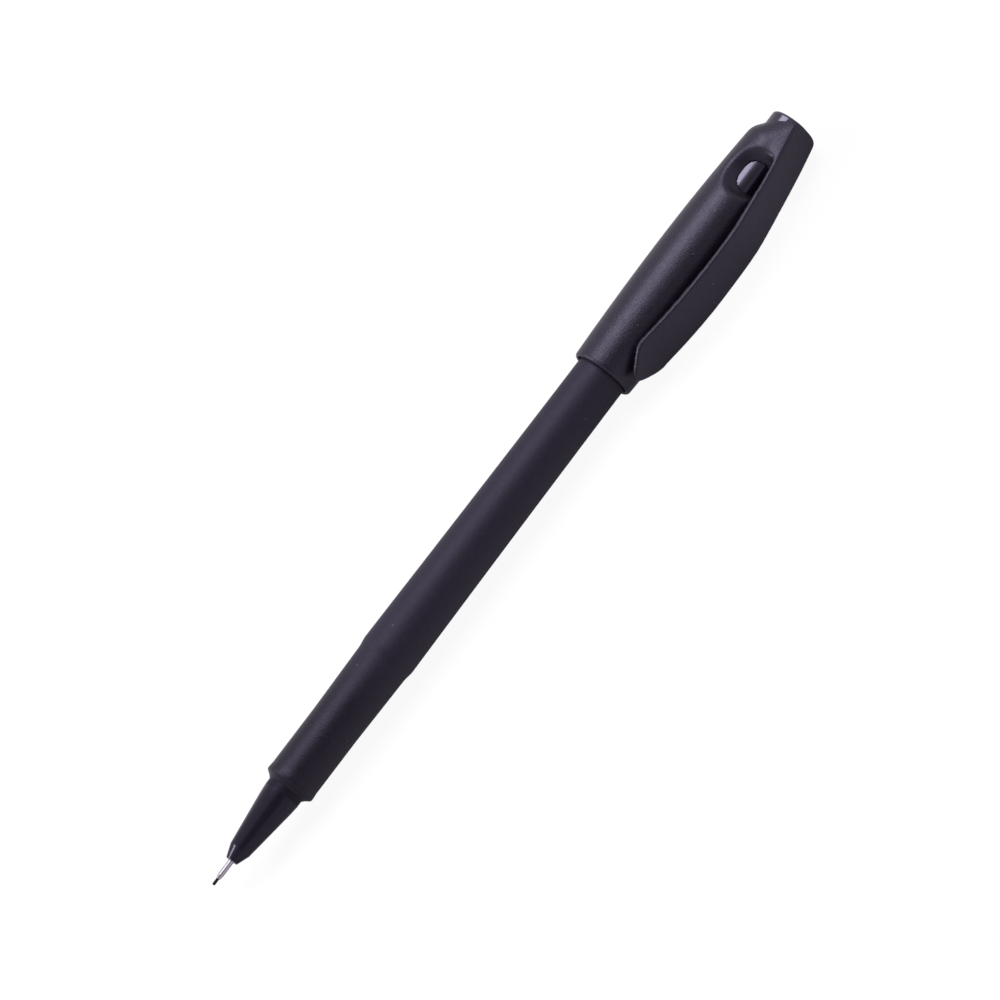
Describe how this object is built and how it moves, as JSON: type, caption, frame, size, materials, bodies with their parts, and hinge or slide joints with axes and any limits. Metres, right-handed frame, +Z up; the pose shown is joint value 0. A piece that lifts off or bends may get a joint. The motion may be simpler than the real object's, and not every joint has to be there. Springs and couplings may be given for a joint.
{
  "type": "fineliner pen",
  "caption": "Slim matte black fineliner pen with a stepped barrel, tapered nose and steel-sleeved point, its clip cap posted on the tail.",
  "frame": {"origin": "on the pen's axis, at the middle of the barrel's cylindrical grip", "axes": "X runs along the pen, with the nib at -X and the posted cap at +X; the clip stands out towards -Y, level, and +Z is up"},
  "size_m": [0.1635, 0.0151, 0.0122],
  "materials": {
    "matte_black": "fine matte moulded texture",
    "gloss_black": "smooth and glossy",
    "nib_steel": "drawn and lightly polished",
    "nib_plastic": "ground smooth, stained by ink",
    "wick_fibre": "bonded fibre soaked with ink",
    "inked_fibre": "bundled fibre soaked with ink",
    "clear_film": "thin clear wrap",
    "plug_black": "plain moulded"
  },
  "bodies": {
    "pen": {"barrel": "matte_black", "nose_section": "gloss_black", "nib_sleeve": "nib_steel", "nib_point": "nib_plastic", "feed_wick": "wick_fibre", "ink_reservoir": "inked_fibre", "reservoir_film": "clear_film", "tail_plug": "plug_black"},
    "cap_liner": {"inner_cap": "gloss_black"},
    "cap": {"cap_shell": "matte_black"},
    "clip": {"clip": "matte_black"}
  },
  "joints": [
    {"name": "cap_pull", "type": "slide", "parent": "pen", "child": "cap_liner", "axis": [1, 0, 0], "range_m": [0, 0.03]},
    {"name": "cap_turn", "type": "hinge", "parent": "cap_liner", "child": "cap", "pos_m": [0.108, 0, 0], "axis": [1, 0, 0], "continuous": true},
    {"name": "clip_flex", "type": "hinge", "parent": "cap", "child": "clip", "pos_m": [0.12442, -0.00665, 0], "axis": [0, 0, 1], "range_deg": [0, 3.5], "stiffness_Nm_per_rad": 2}
  ]
}
